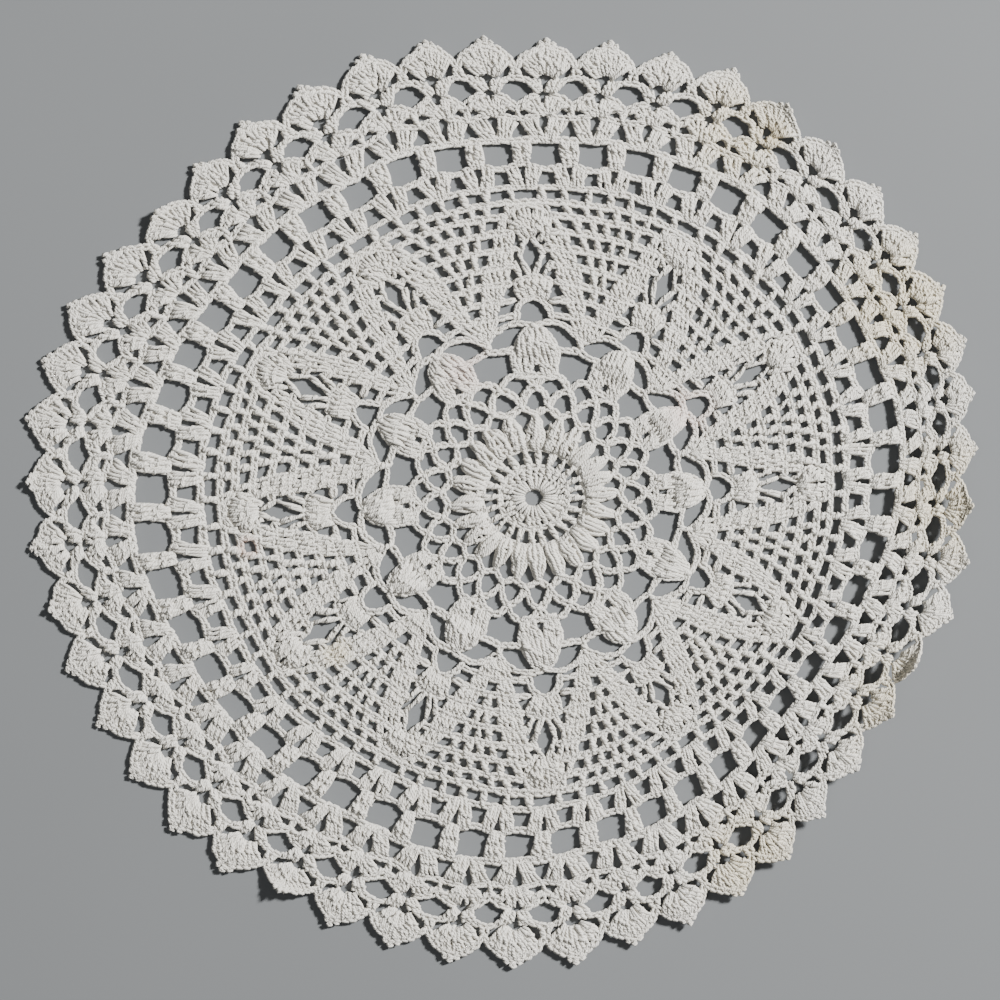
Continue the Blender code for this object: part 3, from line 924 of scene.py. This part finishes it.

# %% [markdown]
# ## Lay the work down
# Each group of rounds becomes one mesh, pulled into the lying shape, shaded smooth, and given two
# maps: the thread map for the twist, and a plain map seen from above. One object for every stitch
# would be far slower, and one for the whole cloth too heavy. They all ride on the one body and
# stand in for the plain sheet of the frame. The two rounds of shells are one piece.

# %% Build the pieces
def cloth_piece(name, batches):
    """One mesh from batches of thread: corners, faces, the two maps and the material."""
    points, quads, caps, mapped = joined(batches)
    points = lie_down(points)
    corners = np.concatenate([quads.ravel(), *(batch.ravel() for batch in caps)])
    sizes = np.concatenate(
        [np.full(len(quads), 4), *(np.full(len(batch), batch.shape[1]) for batch in caps)]
    )
    mesh = bpy.data.meshes.new(name)
    mesh.vertices.add(len(points))
    mesh.vertices.foreach_set("co", points.astype(np.float32).ravel())
    mesh.loops.add(len(corners))
    mesh.loops.foreach_set("vertex_index", corners.astype(np.int32))
    mesh.polygons.add(len(sizes))
    starts = np.concatenate([[0], sizes.cumsum()[:-1]])
    mesh.polygons.foreach_set("loop_start", starts.astype(np.int32))
    mesh.update(calc_edges=True)
    (x0, y0), (x1, y1) = points[:, :2].min(0), points[:, :2].max(0)
    seen = (points[corners, :2] - (x0, y0)) / (x1 - x0, y1 - y0)
    mesh.uv_layers.new(name="OFBake").uv.foreach_set("vector", seen.astype(np.float32).ravel())
    along = np.zeros((len(corners), 2), np.float32)
    along[: 4 * len(quads)] = mapped.reshape(-1, 2)
    mesh.uv_layers.new(name="thread").uv.foreach_set("vector", along.ravel())
    mesh.shade_smooth()
    mesh.materials.append(cotton)
    piece = bpy.data.objects.new(name, mesh)
    bpy.context.scene.collection.objects.link(piece)
    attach(piece, "root")
    lowest, highest = points[:, 2].min() / MM, points[:, 2].max() / MM
    print(f"{name}: {triangles(batches)} triangles, z {lowest:.2f} to {highest:.2f} mm")
    return piece


works = {
    "centre_rosette": middle,
    "loop_net": loop_net,
    "leaf_round": leaves,
    **star,
    "ladder_round": ladder,
    "shell_border": lower_shells + upper_shells,
    "scallop_fans": scallop_fans,
    "scallop_edging": edging,
}
cloth = {name: cloth_piece(name, work) for name, work in works.items()}
for piece in cloth.values():
    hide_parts("doily")
surface = {name: sum(p.area for p in piece.data.polygons) for name, piece in cloth.items()}
print("surface of all the thread:", round(sum(surface.values()), 4), "square metres,",
      "of the shells:", round(surface["shell_border"], 4))

# %% [markdown]
# ## Floor, light and camera
# A plain pale floor lets the holes read. It is painted board, matt, and a shade darker than the
# cloth. The light is one soft lamp from the upper right, low enough for the thread to throw short
# shadows into the holes, with a weak broad fill. The camera looks straight down from high up, so
# the cloth shows with next to no perspective.
#
# The cloth is limp and lies on the floor. Its flat size is 287 by 281 mm across the tips, and a
# quarter of its outline is holes. The thread of the two rounds of shells comes near the area that
# the whole cloth covers. The area given is what the thread covers, as measured on the model from
# above. The check therefore says nothing about the area of the cloth as a whole.

# %% Set the stage
VIEW_WIDTH = 0.300  # how much the camera sees, m
CAMERA_HEIGHT = 0.90
SENSOR = 36.0  # mm


def matt_paint():
    """Matt grey emulsion: rough, so it has no highlight, and very faintly mottled by the roller."""
    material = bpy.data.materials.new("matt_grey_paint")
    material.use_nodes = True
    tree = material.node_tree
    shader = tree.nodes["Principled BSDF"]
    shader.inputs["Roughness"].default_value = 0.9
    spot = node(tree, "ShaderNodeTexCoord").outputs["Object"]
    mottle = node(tree, "ShaderNodeTexNoise", {"Vector": spot}, Scale=6.0, Detail=2.0)
    colour = blend(tree, mottle.outputs["Fac"], "#696b6c", "#6f7172")
    tree.links.new(shader.inputs["Base Color"], colour)
    return material


def lamp(name, place_at, size, power):
    """A square lamp facing the middle of the cloth: place and size in metres, power in watts."""
    light = bpy.data.lights.new(name, "AREA")
    light.size = size
    light.energy = power
    made = bpy.data.objects.new(name, light)
    made.location = place_at
    direction = made.location.normalized()
    made.rotation_euler = direction.to_track_quat("Z", "Y").to_euler()
    bpy.context.scene.collection.objects.link(made)
    return made


bpy.ops.mesh.primitive_plane_add(size=8.0, location=(0.0, 0.0, 0.0))
floor = bpy.context.object
floor.name = "floor"
floor.data.materials.append(matt_paint())

lamp("key_lamp", (1.50, 0.80, 1.35), size=0.26, power=150.0)
lamp("fill_lamp", (-0.5, -0.3, 1.6), size=1.6, power=5.5)
world = bpy.context.scene.world or bpy.data.worlds.new("studio")
world.use_nodes = True
sky = world.node_tree.nodes["Background"]
sky.inputs["Color"].default_value = (0.9, 0.95, 1.0, 1.0)
sky.inputs["Strength"].default_value = 0.10
bpy.context.scene.world = world

camera_data = bpy.data.cameras.new("camera")
camera_data.sensor_width = SENSOR
camera_data.lens = SENSOR * CAMERA_HEIGHT / VIEW_WIDTH
camera = bpy.data.objects.new("camera", camera_data)
camera.location = (0.0, 0.00105, CAMERA_HEIGHT)  # a millimetre up, so the cloth sits as framed
bpy.context.scene.collection.objects.link(camera)
bpy.context.scene.camera = camera
